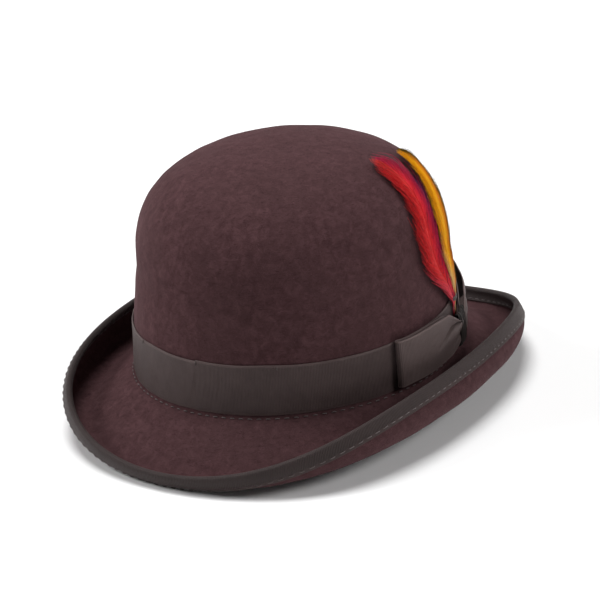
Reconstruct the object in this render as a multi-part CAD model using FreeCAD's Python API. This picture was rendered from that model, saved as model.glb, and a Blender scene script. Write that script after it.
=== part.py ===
"""Bowler hat: felt crown and curled brim, ribbon binding, hatband and bow, feathers, sweatband, lining.

Millimetres. +Z up, front of the hat faces -Y, wearer's left is +X, Z = 0 is the surface it rests on.
Angle t runs round the hat: 0 at the front, 90 at the wearer's left, 180 at the back.
"""
import FreeCAD
import Part
import os
from math import asin, cos, hypot, pi, radians, sin

V = FreeCAD.Vector

# ---- driving dimensions ----------------------------------------------------------------------
HEAD_HALF_WIDTH = 88.0      # outside of the crown where it meets the brim
HEAD_HALF_LENGTH = 103.0
HEAD_EGG = 0.02             # the oval is narrower in front by this share
CROWN_HEIGHT = 120.5        # above the brim break
WALL_HEIGHT = 59.1          # height of the shoulder, where the dome begins
SHOULDER_WIDTH = 0.96       # shoulder size as a share of the head oval
SHOULDER_LENGTH = 0.898
WALL_LEAN = 1.86            # how late the wall starts to lean in
DOME_X, DOME_Y, DOME_Z = 0.79, 0.77, 0.72   # fullness of the dome, 1 is an ellipse
CROWN_SHIFT_X = -1.5        # the crown top leans this far to the wearer's right
FELT = 2.4

# Brim values are (front and back, sides, diagonals).
BRIM_WIDTH = (51.4, 47.0, 6.6)
BRIM_SLOPE = (-36.3, -34.8, 5.8)
CURL_ANGLE = (85.5, 133.3, 9.2)
CURL_START = (0.772, 0.313, -0.019)         # share of the brim's width that stays straight
CURL_END = (1.0, 0.9, 0.0)
BREAK_RISE = (2.8, -0.1, 0.0)               # the brim break rises in front and at the back

GAP = 0.15                  # air left between sewn layers
BINDING_WIDTH, BINDING = 6.5, 0.6
BINDING_SEAM = 1.2          # stitch line, from the binding's inner edge
BAND_HEIGHT, BAND = 27.0, 0.8
BAND_FOOT = 1.2             # band's lower edge above the break
THREAD = 0.16               # thread radius
SWEATBAND_SEAM = 2.0        # stitch line on the brim, from the break

BOW_ANGLE = 110.0           # centre of the bow knot
BOW_LOOP = 38.0             # angle each loop reaches from the knot
BOW_HEIGHT = 26.0
BOW_PINCH = 15.0            # ribbon height where it is gathered in the knot
BOW_FOLD = 1.9              # radius of the loop's end fold
KNOT_WIDTH, KNOT_HEIGHT, KNOT_DEPTH = 11.0, 21.0, 4.6
KNOT_DROP = 3.5             # the knot sits lower than the middle of the loops
RIBBON = 0.7

SWEATBAND_HEIGHT, LEATHER = 37.0, 0.9
REED = 1.0
LINING = 0.45
LINING_SEAM = 0.48          # dome share where side lining and tip lining meet

QUILL, QUILL_TAPER = 0.6, 0.45              # quill radius at its foot, share lost at its tip
VANE = 0.5

AROUND = 72                 # sections round the hat
TURN = [2 * pi * i / AROUND for i in range(AROUND)]
RING_DRAW = (2 + cos(2 * pi / AROUND)) / 3      # a skin round the hat lies this much inside its points


# ---- base shapes -----------------------------------------------------------------------------
def around(t, values):
    """Brim value at angle t from its front, side and diagonal values."""
    front, side, diagonal = values
    return front * cos(t) ** 2 + side * sin(t) ** 2 + diagonal * sin(2 * t) ** 2


def oval(t):
    """Head oval: point and outward direction."""
    egg = 1 - HEAD_EGG * cos(t)
    x = HEAD_HALF_WIDTH * sin(t) * egg
    y = -HEAD_HALF_LENGTH * cos(t)
    nx = HEAD_HALF_LENGTH * sin(t)
    ny = -HEAD_HALF_WIDTH * (cos(t) * egg + HEAD_EGG * sin(t) ** 2)
    size = hypot(nx, ny)
    return V(x, y, 0), V(nx / size, ny / size, 0)


def foot(t):
    return around(t, BREAK_RISE)


def crown_skin(t, v):
    """Outer face of the crown. v is -1 at the brim break, 0 at the shoulder and 1 at the top."""
    base, _ = oval(t)
    if v <= 0:
        z = WALL_HEIGHT + v * (WALL_HEIGHT - foot(t))
        lean = max(z, 0.0) / WALL_HEIGHT
        sx = 1 + (SHOULDER_WIDTH - 1) * lean ** WALL_LEAN
        sy = 1 + (SHOULDER_LENGTH - 1) * lean ** WALL_LEAN
    else:
        phi = pi / 2 * v ** (1 / DOME_Z)
        z = WALL_HEIGHT + (CROWN_HEIGHT - WALL_HEIGHT) * sin(phi) ** DOME_Z
        sx = SHOULDER_WIDTH * max(cos(phi), 0.0) ** DOME_X
        sy = SHOULDER_LENGTH * max(cos(phi), 0.0) ** DOME_Y
    return V(base.x * sx + CROWN_SHIFT_X * z / CROWN_HEIGHT, base.y * sy, z)


def on_crown(t, v, out):
    """Point a distance out from the crown's outer face, along the face's normal."""
    step = 0.01
    along = crown_skin(t + step, v) - crown_skin(t - step, v)
    up = crown_skin(t, min(v + step, 0.999)) - crown_skin(t, v - step)
    normal = along.cross(up)
    normal.normalize()
    return crown_skin(t, v) + normal * out


def level(t, z):
    """The v of a height z above the brim break."""
    if z <= WALL_HEIGHT:
        return (z - WALL_HEIGHT) / (WALL_HEIGHT - foot(t))
    phi = asin(min(1.0, ((z - WALL_HEIGHT) / (CROWN_HEIGHT - WALL_HEIGHT)) ** (1 / DOME_Z)))
    return (2 * phi / pi) ** DOME_Z


def wall_point(t, above_break, out):
    """Point on the crown wall at a height measured from the brim break."""
    return on_crown(t, level(t, foot(t) + above_break), out)


def brim_frame(t, along):
    """Brim top face, a distance along from the break: point, direction outward and face normal."""
    base, out = oval(t)
    width = around(t, BRIM_WIDTH)
    slope = radians(around(t, BRIM_SLOPE))
    start = width * around(t, CURL_START)
    end = width * around(t, CURL_END)
    radius = (end - start) / (radians(around(t, CURL_ANGLE)) - slope)
    arc = min(max(along - start, 0.0), end - start)
    angle = slope + arc / radius
    flat, tail = min(along, start), max(along - end, 0.0)
    rho = flat * cos(slope) + radius * (sin(angle) - sin(slope)) + tail * cos(angle)
    z = flat * sin(slope) - radius * (cos(angle) - cos(slope)) + tail * sin(angle)
    point = base + out * rho + V(0, 0, foot(t) + z)
    return point, out * cos(angle) + V(0, 0, sin(angle)), V(0, 0, cos(angle)) - out * sin(angle)


def on_brim(t, from_edge, above):
    """Point above the brim's top face, a distance in from its edge."""
    point, _, normal = brim_frame(t, around(t, BRIM_WIDTH) - from_edge)
    return point + normal * above


def brim_edge(t, angle, radius):
    """Point on a half round about the brim's edge, from its top face (0) to its underside (pi)."""
    point, outward, normal = brim_frame(t, around(t, BRIM_WIDTH))
    return point - normal * (FELT / 2) + (normal * cos(angle) + outward * sin(angle)) * radius


def blend(value, stops):
    """Values at a position, straight between (position, value...) stops."""
    for low, high in zip(stops, stops[1:]):
        if value <= high[0] or high is stops[-1]:
            share = min(max((value - low[0]) / (high[0] - low[0]), 0.0), 1.0)
            return [a + (b - a) * share for a, b in zip(low[1:], high[1:])]


# ---- solids ----------------------------------------------------------------------------------
def skin(rows, ring=False):
    """Closed solid through rows of points, each row a loop. A ring joins its last row to its first."""
    count, size = len(rows), len(rows[0])
    knots = list(range(count + 1 if ring else count - 2))
    mults = [1] * len(knots)
    if not ring:
        mults[0] = mults[-1] = 4
    surface = Part.BSplineSurface()
    surface.buildFromPolesMultsKnots(
        rows, mults, [1] * (size + 1), knots, list(range(size + 1)), ring, True, 3, 3)
    solid = Part.makeSolid(Part.makeShell([surface.toShape()]))
    if solid.Volume < 0:
        solid.reverse()
    return solid


def capped(rows):
    """Solid whose two ends are closed nearly flat."""
    def centre(row):
        total = V(0, 0, 0)
        for point in row:
            total = total + point
        return total * (1.0 / len(row))

    def shrink(row, share, push):
        middle = centre(row)
        return [middle + push + (point - middle) * share for point in row]

    first = (centre(rows[0]) - centre(rows[1])) * 0.04
    last = (centre(rows[-1]) - centre(rows[-2])) * 0.04
    head = [shrink(rows[0], share, first) for share in (0.0, 0.6, 0.97)]
    tail = [shrink(rows[-1], share, last) for share in (0.97, 0.6, 0.0)]
    return skin(head + rows + tail)


def strip_section(low, high, inner, outer, place, steps=8):
    """Loop of points round a flat strip; place(height, depth) puts each one."""
    heights = [low + (high - low) * i / steps for i in range(steps + 1)]
    mid = (inner + outer) / 2
    bulge = (outer - inner) * 0.3
    loop = [place(h, outer) for h in heights] + [place(high + bulge, mid)]
    return loop + [place(h, inner) for h in reversed(heights)] + [place(low - bulge, mid)]


def round_section(centre, first, second, radius, sides=8):
    """Loop of points round a cord."""
    radius = radius * 1.12
    turns = [2 * pi * i / sides for i in range(sides)]
    return [centre + first * (radius * cos(a)) + second * (radius * sin(a)) for a in turns]


def turned(t):
    """Outward direction of the head oval at t, and up."""
    return oval(t)[1], V(0, 0, 1)


def seam(place, side, stitches=120, share=0.62):
    """Row of separate stitches lying on the cloth all the way round the hat."""
    def on_skin(t):
        point = place(t, side * (THREAD + 0.13))
        return V(point.x * RING_DRAW, point.y * RING_DRAW, point.z)

    step = 2 * pi / stitches
    rows = []
    for i in range(stitches):
        start, end = on_skin(step * i), on_skin(step * (i + share))
        rows.append(Part.makeCylinder(THREAD, (end - start).Length, start, end - start))
    return Part.makeCompound(rows)


# ---- felt ------------------------------------------------------------------------------------
def felt_body():
    """Crown and brim blocked from one felt hood."""
    dome = [0.97, 0.93, 0.88, 0.82, 0.75, 0.67, 0.58, 0.48, 0.38, 0.28, 0.18, 0.08]
    wall = [-0.02, -0.14, -0.28, -0.42, -0.56, -0.70, -0.82, -0.91, -0.965]
    brim = [0.04, 0.08, 0.14, 0.20, 0.26, 0.32, 0.38, 0.44, 0.50, 0.56, 0.62, 0.68, 0.73, 0.77,
            0.81, 0.85, 0.885, 0.915, 0.945, 0.97, 0.99]
    edge = [pi * i / 6 for i in range(1, 6)]
    width = [around(t, BRIM_WIDTH) for t in TURN]

    def crown_row(v, out):
        return [on_crown(t, v, out) for t in TURN]

    def brim_row(share, above):
        return [on_brim(t, w * (1 - share), above) for t, w in zip(TURN, width)]

    top = V(CROWN_SHIFT_X, 0, CROWN_HEIGHT)
    rows = [[top] * AROUND]
    rows += [crown_row(v, 0) for v in dome + wall]
    rows += [brim_row(share, 0) for share in brim]
    rows += [[brim_edge(t, angle, FELT / 2) for t in TURN] for angle in edge]
    rows += [brim_row(share, -FELT) for share in reversed(brim)]
    rows += [crown_row(v, -FELT) for v in reversed(dome + wall)]
    rows += [[top - V(0, 0, FELT)] * AROUND]
    return skin(rows)


def brim_binding():
    """Ribbon folded over the brim's edge."""
    steps = [BINDING_WIDTH * i / 9 for i in range(9, 0, -1)]
    turn = [pi * i / 8 for i in range(9)]
    inside, outside = GAP, GAP + BINDING
    rows = []
    for t in TURN:
        outer = [on_brim(t, s, outside) for s in steps]
        outer += [brim_edge(t, a, FELT / 2 + outside) for a in turn]
        outer += [on_brim(t, s, -FELT - outside) for s in reversed(steps)]
        inner = [on_brim(t, s, -FELT - inside) for s in steps]
        inner += [brim_edge(t, a, FELT / 2 + inside) for a in reversed(turn)]
        inner += [on_brim(t, s, inside) for s in reversed(steps)]
        rows.append(outer + inner)
    return skin(rows, ring=True)


def binding_thread(top):
    side = 1 if top else -1
    face = GAP + BINDING if top else -(FELT + GAP + BINDING)

    def place(t, lift):
        return on_brim(t, BINDING_WIDTH - BINDING_SEAM, face + lift)

    return seam(place, side)


# ---- ribbon trim -----------------------------------------------------------------------------
def hatband():
    """Grosgrain ribbon sewn into a ring round the foot of the crown."""
    inner = GAP + 0.1
    return skin([
        strip_section(BAND_FOOT, BAND_FOOT + BAND_HEIGHT, inner, inner + BAND,
                      lambda h, d, t=t: wall_point(t, h, d))
        for t in TURN], ring=True)


def hatband_tacks():
    """Short tack stitches over the band's upper edge."""
    tacks = []
    for t in [radians(a) for a in range(-150, 60, 30)]:
        low = wall_point(t, BAND_FOOT + BAND_HEIGHT - 2.0, GAP + 0.2 + BAND + THREAD)
        high = wall_point(t, BAND_FOOT + BAND_HEIGHT - 0.2, GAP + 0.2 + BAND + THREAD)
        tacks.append(Part.makeCylinder(THREAD, (high - low).Length, low, high - low))
    return Part.makeCompound(tacks)


BOW_BASE = GAP + 0.1 + BAND + 0.15          # the bow lies on the band
POCKET = 1.85                               # room behind the knot for the quills
KNOT_BASE = BOW_BASE + POCKET
BOW_MIDDLE = BAND_FOOT + 15.0               # height of the bow's centre line


def bow_loop(side):
    """Flattened ribbon loop gathered into the knot at both of its ends."""
    reach = BOW_LOOP * side
    near = 0.012 * side
    layers = []
    shares = [0.0, 0.05, 0.1, 0.16, 0.24, 0.34, 0.46, 0.6, 0.74, 0.86, 0.94]
    low_depth = BOW_BASE + RIBBON / 2
    for share in shares:
        lift = blend(share, [(0.0, 2.85), (0.12, 2.8), (0.3, 0.9), (0.5, 0.05), (1.0, 0.0)])[0]
        layers.append((share, low_depth + lift))
    for angle in (-60, -20, 20, 60):
        bulge = BOW_FOLD * cos(radians(angle)) / (HEAD_HALF_WIDTH * radians(BOW_LOOP))
        layers.append((0.955 + bulge, low_depth + BOW_FOLD * (1 + sin(radians(angle)))))
    for share in reversed(shares):
        lift = blend(share, [(0.0, 3.85), (0.12, 4.0), (0.3, 4.1), (0.6, 3.8), (1.0, 3.8)])[0]
        layers.append((share, low_depth + lift))
    rows = []
    for number, (share, depth) in enumerate(layers):
        t = radians(BOW_ANGLE) + radians(reach) * share + near
        pinch, full = BOW_PINCH / 2, BOW_HEIGHT / 2
        high, low = blend(share, [
            (0.0, pinch - KNOT_DROP, pinch + KNOT_DROP), (0.1, pinch - 2.7, pinch + 3.9),
            (0.16, full - 4.0, full - 1.4), (0.34, full - 0.4, full - 0.6), (0.6, full, full - 0.3),
            (1.0, full, full)])
        before = layers[max(number - 1, 0)]
        after = layers[min(number + 1, len(layers) - 1)]
        run = (after[0] - before[0]) * radians(BOW_LOOP) * HEAD_HALF_WIDTH
        rise = after[1] - before[1]
        size = hypot(run, rise)
        dt = -rise / size * RIBBON / 2 / HEAD_HALF_WIDTH * side
        dd = run / size * RIBBON / 2

        def place(h, d, t=t, depth=depth, dt=dt, dd=dd):
            return wall_point(t + dt * d, BOW_MIDDLE + h, depth + dd * d)

        rows.append(strip_section(-low, high, -1.0, 1.0, place, 5))
    return capped(rows)


def bow_knot():
    """Ribbon wrapped once round the middle of the bow, standing off the band by the quill pocket."""
    t0 = radians(BOW_ANGLE)
    middle = KNOT_BASE + KNOT_DEPTH / 2
    rows = []
    for i in range(28):
        a = 2 * pi * (i + 0.5) / 28
        depth = cos(a) * abs(cos(a)) ** -0.35
        height = sin(a) * abs(sin(a)) ** -0.35

        def place(width, inset, depth=depth, height=height):
            return wall_point(t0 + width / HEAD_HALF_WIDTH,
                              BOW_MIDDLE - KNOT_DROP + height * (KNOT_HEIGHT / 2 - inset),
                              middle + depth * (KNOT_DEPTH / 2 - inset))

        rows.append(strip_section(-KNOT_WIDTH / 2, KNOT_WIDTH / 2, RIBBON, 0.0, place, 3))
    return skin(rows, ring=True)


# ---- inside ----------------------------------------------------------------------------------
def sweatband():
    """Leather strip inside the crown, its lower edge turned round the reed."""
    tail = -FELT - GAP - LEATHER / 2
    main = tail - LEATHER - 0.25
    turn = REED + 0.15 + LEATHER / 2
    centre = tail - turn
    path = [(7.0, tail), (5.0, tail), (3.0, tail), (1.5, tail)]
    path += [(0.4 - turn * sin(a), centre + turn * cos(a)) for a in [pi * i / 8 for i in range(9)]]
    path += [(1.8, centre - turn * 0.93), (3.6, main - 0.5), (5.6, main), (9.0, main), (14.0, main),
             (20.0, main), (26.0, main), (32.0, main), (SWEATBAND_HEIGHT, main)]
    rows = []
    for t in TURN:
        sides = ([], [])
        for number, (height, depth) in enumerate(path):
            h0, d0 = path[max(number - 1, 0)]
            h1, d1 = path[min(number + 1, len(path) - 1)]
            size = hypot(h1 - h0, d1 - d0)
            for points, sign in zip(sides, (1, -1)):
                shift = sign * LEATHER / 2 / size
                points.append(wall_point(t, height - (d1 - d0) * shift, depth + (h1 - h0) * shift))
        rows.append(sides[0] + list(reversed(sides[1])))
    return skin(rows, ring=True)


def sweatband_reed():
    centre = -FELT - GAP - LEATHER - REED - 0.15
    return skin([round_section(wall_point(t, 0.4, centre), *turned(t), REED) for t in TURN], ring=True)


def sweatband_thread():
    """Stitch line outside, just under the hatband, that holds the sweatband in."""
    def place(t, lift):
        point, _, normal = brim_frame(t, SWEATBAND_SEAM)
        return point + normal * (lift + 0.3)

    return seam(place, 1)


def lining_side():
    """Satin wall, tucked behind the sweatband and sewn to the tip lining at the top."""
    rows = []
    levels = [10.0, 14.0, 20.0, 27.0, 34.0, 40.0, 47.0, 54.0]
    heights = [(h, blend(h, [(0, -FELT - 0.25), (34, -FELT - 0.25), (54, -FELT - 1.4)])[0]) for h in levels]
    shares = [(v, -FELT - 1.6 - 1.2 * v) for v in (0.06, 0.14, 0.22, 0.30, 0.38, LINING_SEAM - 0.02)]
    for t in TURN:
        outer = [wall_point(t, h, d) for h, d in heights] + [on_crown(t, v, d) for v, d in shares]
        inner = [wall_point(t, h, d - LINING) for h, d in heights]
        inner += [on_crown(t, v, d - LINING) for v, d in shares]
        rows.append(outer + list(reversed(inner)))
    return skin(rows, ring=True)


def lining_tip():
    """Domed satin oval across the top of the crown."""
    shares = [0.97, 0.93, 0.88, 0.82, 0.75, 0.67, 0.60, 0.54, LINING_SEAM + 0.015]
    out = -FELT - 2.3
    top = V(CROWN_SHIFT_X, 0, CROWN_HEIGHT + out)
    rows = [[top] * AROUND]
    rows += [[on_crown(t, v, out) for t in TURN] for v in shares]
    rows += [[on_crown(t, v, out - LINING) for t in TURN] for v in reversed(shares)]
    rows += [[top - V(0, 0, LINING)] * AROUND]
    return skin(rows)


def lining_piping():
    """Cord covering the lining's seam."""
    rows = []
    for t in TURN:
        centre = on_crown(t, LINING_SEAM, -FELT - 3.8)
        normal = on_crown(t, LINING_SEAM, 1.0) - on_crown(t, LINING_SEAM, 0.0)
        along = on_crown(t + 0.01, LINING_SEAM, 0.0) - on_crown(t - 0.01, LINING_SEAM, 0.0)
        rows.append(round_section(centre, normal, normal.cross(along).normalize(), 0.7))
    return skin(rows, ring=True)


SWEAT_FACE = -FELT - GAP - LEATHER - 0.25 - LEATHER     # leather's face towards the head


def inside_strip(t_low, t_high, low, high, depth, thick, count=10):
    """Flat strip lying against the inside of the sweatband."""
    rows = []
    for i in range(count + 1):
        t = radians(t_low + (t_high - t_low) * i / count)
        rows.append(strip_section(low, high, depth, depth - thick,
                                  lambda h, d, t=t: wall_point(t, h, d), 4))
    return capped(rows)


def size_label():
    return inside_strip(150, 163, 14, 26, SWEAT_FACE - 0.3, 0.3)


def rear_bow_loops():
    """Small ribbon bow at the sweatband's rear join."""
    loops = []
    for side in (-1, 1):
        rows = []
        for i in range(9):
            share = i / 8
            t = radians(180 + side * (0.9 + 7.5 * share))
            half = blend(share, [(0, 2.0), (0.6, 4.2), (1, 4.4)])[0]
            thick = blend(share, [(0, 1.3), (0.5, 2.4), (1, 1.5)])[0]
            rows.append(strip_section(22 - half, 22 + half, SWEAT_FACE - 0.15, SWEAT_FACE - 0.15 - thick,
                                      lambda h, d, t=t: wall_point(t, h, d), 4))
        loops.append(capped(rows))
    return Part.makeCompound(loops)


def rear_bow_knot():
    return inside_strip(179.2, 180.8, 19.2, 24.8, SWEAT_FACE - 0.15, 2.2, 4)


# ---- feathers --------------------------------------------------------------------------------
# Quill stops: height above the break, angle t, distance out from the crown.
POCKET_OUT = BOW_BASE + QUILL * 1.12 - 0.05
RED = [(10, 108.9, POCKET_OUT), (24, 108.9, POCKET_OUT + 0.2), (29, 108.6, 2.6), (40, 105.4, 2.8),
       (52, 100.2, 2.6), (66, 96.4, 2.6), (80, 94.8, 2.6), (92, 96.6, 2.6), (102, 98.6, 2.6),
       (106, 99.6, 2.8), (110.5, 100.8, 3.2)]
DARK = [(10, 110.0, POCKET_OUT), (24, 110.0, POCKET_OUT + 0.2), (29, 109.9, 2.5), (40, 108.2, 2.0),
        (52, 105.4, 1.6), (66, 103.0, 1.5), (80, 102.2, 1.5), (92, 104.4, 1.5), (101, 107.5, 1.7)]
YELLOW = [(10, 111.1, POCKET_OUT), (24, 111.1, POCKET_OUT + 0.2), (29, 111.3, 2.7), (40, 111.4, 3.2),
          (52, 110.6, 3.3), (66, 109.6, 3.3), (82, 109.4, 3.3), (92, 112.2, 3.3), (100, 117.0, 3.3),
          (104, 120.8, 3.3), (106.5, 124.0, 3.4)]


def quill_rows(stops, count=30):
    """Evenly shared stations up a quill: share, angle and height share, distance out."""
    rows = []
    for i in range(count + 1):
        share = i / count
        z = stops[0][0] + (stops[-1][0] - stops[0][0]) * (1 - (1 - share) ** 1.25)
        samples = [blend(z + dz, stops) for dz in (-5, -2.5, 0, 2.5, 5)]
        if z < 24:
            samples = [blend(z, stops)] * 5
        t = radians(sum(s[0] for s in samples) / 5)
        out = sum(s[1] for s in samples) / 5
        rows.append((share, t, min(z, stops[-1][0]), out))
    return rows


def quill(stops):
    rows = []
    stations = quill_rows(stops)
    for number, (share, t, z, out) in enumerate(stations):
        centre = on_crown(t, level(t, z), out)
        _, t1, z1, out1 = stations[min(number + 1, len(stations) - 1)]
        _, t0, z0, out0 = stations[max(number - 1, 0)]
        along = on_crown(t1, level(t1, z1), out1) - on_crown(t0, level(t0, z0), out0)
        along.normalize()
        normal = on_crown(t, level(t, z), 1.0) - on_crown(t, level(t, z), 0.0)
        side = along.cross(normal)
        side.normalize()
        radius = QUILL * (1 - QUILL_TAPER * share)
        rows.append(round_section(centre, side, side.cross(along), radius, 6))
    return capped(rows)


def vane(stops, half_width, start):
    """Flat web of barbs lying just under the quill."""
    rows = []
    for share, t, z, out in quill_rows(stops):
        if share < start:
            continue
        place_share = (share - start) / (1 - start)
        half = half_width * blend(place_share, [
            (0, 0.12), (0.12, 0.45), (0.3, 0.85), (0.5, 1.0), (0.75, 0.86), (0.9, 0.5), (1, 0.12)])[0]
        radius = hypot(crown_skin(t, level(t, z)).x, crown_skin(t, level(t, z)).y)
        under = out - QUILL * 1.12 * (1 - QUILL_TAPER * share) - 0.1

        def place(width, depth, t=t, z=z, radius=radius):
            return on_crown(t + width / radius, level(t, z), depth)

        rows.append(strip_section(-half, half, under - VANE, under, place, 6))
    return capped(rows)


def feather_whipping():
    """Turns of thread that hold the quills together above the band."""
    turns = []
    t0 = radians(BOW_ANGLE)
    for height in (28.9, 29.5, 30.1, 30.7):
        middle = on_crown(t0, level(t0, height), 2.5)
        rows = []
        for i in range(20):
            a = 2 * pi * i / 20
            side = 4.1 * cos(a) / HEAD_HALF_WIDTH
            centre = on_crown(t0 + side, level(t0, height), 2.5 + 1.7 * sin(a))
            outward = (centre - middle).normalize()
            rows.append(round_section(centre, outward, V(0, 0, 1), 0.24, 6))
        turns.append(skin(rows, ring=True))
    return Part.makeCompound(turns)


# ---- assembly --------------------------------------------------------------------------------
NODES = {
    "felt_body": felt_body(),
    "brim_binding": brim_binding(),
    "binding_thread_upper": binding_thread(True),
    "binding_thread_lower": binding_thread(False),
    "hatband": hatband(),
    "hatband_tacks": hatband_tacks(),
    "bow_front_loop": bow_loop(-1),
    "bow_rear_loop": bow_loop(1),
    "bow_knot": bow_knot(),
    "sweatband": sweatband(),
    "sweatband_reed": sweatband_reed(),
    "sweatband_thread": sweatband_thread(),
    "lining_side": lining_side(),
    "lining_tip": lining_tip(),
    "lining_piping": lining_piping(),
    "size_label": size_label(),
    "rear_bow_loops": rear_bow_loops(),
    "rear_bow_knot": rear_bow_knot(),
    "red_quill": quill(RED),
    "red_vane": vane(RED, 8.4, 0.26),
    "dark_quill": quill(DARK),
    "dark_vane": vane(DARK, 4.6, 0.28),
    "yellow_quill": quill(YELLOW),
    "yellow_vane": vane(YELLOW, 8.0, 0.26),
    "feather_whipping": feather_whipping(),
}

boxes = [shape.optimalBoundingBox(False) for shape in NODES.values()]
lift = V(-(min(b.XMin for b in boxes) + max(b.XMax for b in boxes)) / 2,
         -(min(b.YMin for b in boxes) + max(b.YMax for b in boxes)) / 2,
         -min(b.ZMin for b in boxes))

os.makedirs("parts", exist_ok=True)
for name, shape in NODES.items():
    shape.translate(lift)
    shape.exportStep("parts/" + name + ".step")
print("nodes", len(NODES), "lift", lift)
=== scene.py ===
"""Looks of the bowler hat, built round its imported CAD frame.

Shapes are worked out in millimetres above the brim break, as in the CAD, and stored in metres.
Angle t runs round the hat: 0 at the front, 90 degrees at the wearer's left, 180 at the back.
"""

import bmesh
import bpy
import numpy as np
from mathutils import Matrix, Vector


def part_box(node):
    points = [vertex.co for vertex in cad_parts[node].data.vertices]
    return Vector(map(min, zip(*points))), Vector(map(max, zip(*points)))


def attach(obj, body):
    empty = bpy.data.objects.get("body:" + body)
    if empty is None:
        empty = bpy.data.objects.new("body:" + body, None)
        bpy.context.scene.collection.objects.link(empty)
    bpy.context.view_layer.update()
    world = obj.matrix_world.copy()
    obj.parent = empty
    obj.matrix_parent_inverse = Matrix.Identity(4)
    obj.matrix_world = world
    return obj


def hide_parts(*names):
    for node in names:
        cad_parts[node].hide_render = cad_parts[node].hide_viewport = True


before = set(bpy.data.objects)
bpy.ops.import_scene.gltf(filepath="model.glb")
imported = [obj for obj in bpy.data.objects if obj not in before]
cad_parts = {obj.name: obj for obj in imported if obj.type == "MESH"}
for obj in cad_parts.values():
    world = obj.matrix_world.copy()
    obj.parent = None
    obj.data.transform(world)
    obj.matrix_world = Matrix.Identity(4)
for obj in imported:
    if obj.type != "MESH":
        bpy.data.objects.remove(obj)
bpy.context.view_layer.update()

TAU = 2 * np.pi

# ---- dimensions -------------------------------------------
HALF_WIDTH, HALF_LENGTH, EGG = 88.0, 103.0, 0.02
HEIGHT, WALL = 120.5, 59.1
SHOULDER_X, SHOULDER_Y, LEAN = 0.96, 0.898, 1.86
DOME_X, DOME_Y, DOME_Z = 0.79, 0.77, 0.72
SHIFT_X = -1.5
FELT = 2.4
BRIM_WIDTH = (51.4, 47.0, 6.6)      # front and back, sides, diagonals
BRIM_SLOPE = (-36.3, -34.8, 5.8)
CURL_ANGLE = (85.5, 133.3, 9.2)
CURL_START = (0.772, 0.313, -0.019)
CURL_END = (1.0, 0.9, 0.0)
BREAK_RISE = (2.8, -0.1, 0.0)
BINDING_WIDTH, BINDING_SEAM = 6.5, 5.3      # the seam is measured from the brim's edge
BAND_LOW, BAND_HIGH = 1.2, 28.2
BOW_RIBBON = 26.0
BOW_ANGLE = np.radians(110.0)
BREAK_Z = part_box("felt_body")[1][2] * 1000 - HEIGHT


# ---- base shapes ------------------------------------------
def circle(count):
    """Evenly spaced angles all the way round."""
    return np.arange(count) / count * TAU


def pts(x, y, z):
    return np.stack(np.broadcast_arrays(x, y, z), -1).astype(float)


def unit(a):
    return a / np.maximum(np.linalg.norm(a, axis=-1, keepdims=True), 1e-9)


def around(t, values):
    return values[0] * np.cos(t) ** 2 + values[1] * np.sin(t) ** 2 + values[2] * np.sin(2 * t) ** 2


def foot(t):
    return around(t, BREAK_RISE)


def oval(t):
    egg = 1 - EGG * np.cos(t)
    nx = HALF_LENGTH * np.sin(t)
    ny = -HALF_WIDTH * (np.cos(t) * egg + EGG * np.sin(t) ** 2)
    size = np.hypot(nx, ny)
    return HALF_WIDTH * np.sin(t) * egg, -HALF_LENGTH * np.cos(t), nx / size, ny / size


def crown_skin(t, v):
    """Outer face of the crown: v is -1 at the break, 0 at the shoulder, 1 at the top."""
    t, v = np.broadcast_arrays(np.asarray(t, float), np.asarray(v, float))
    x, y, _, _ = oval(t)
    phi = np.pi / 2 * np.clip(v, 0, 1) ** (1 / DOME_Z)
    wall_z = WALL + np.minimum(v, 0) * (WALL - foot(t))
    lean = (np.maximum(wall_z, 0) / WALL) ** LEAN
    cosine = np.maximum(np.cos(phi), 0)
    on_wall = v <= 0
    z = np.where(on_wall, wall_z, WALL + (HEIGHT - WALL) * np.sin(phi) ** DOME_Z)
    sx = np.where(on_wall, 1 + (SHOULDER_X - 1) * lean, SHOULDER_X * cosine ** DOME_X)
    sy = np.where(on_wall, 1 + (SHOULDER_Y - 1) * lean, SHOULDER_Y * cosine ** DOME_Y)
    return pts(x * sx + SHIFT_X * z / HEIGHT, y * sy, z)


def crown_normal(t, v):
    step = 0.01
    along = crown_skin(t + step, v) - crown_skin(t - step, v)
    up = crown_skin(t, np.minimum(v + step, 0.999)) - crown_skin(t, v - step)
    return unit(np.cross(along, up))


def on_crown(t, v, out):
    t, v, out = np.broadcast_arrays(t, v, out)
    return crown_skin(t, v) + crown_normal(t, v) * out[..., None]


def level(t, z):
    """The v of a height z above the break plane."""
    dome = np.clip((z - WALL) / (HEIGHT - WALL), 0, 1) ** (1 / DOME_Z)
    high = (2 * np.arcsin(dome) / np.pi) ** DOME_Z
    return np.where(z <= WALL, (z - WALL) / (WALL - foot(t)), high)


def on_wall(t, above, out):
    """Point at a height above the brim break, a distance out from the crown."""
    t, above, out = np.broadcast_arrays(t, above, out)
    return on_crown(t, level(t, foot(t) + above), out)


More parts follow.
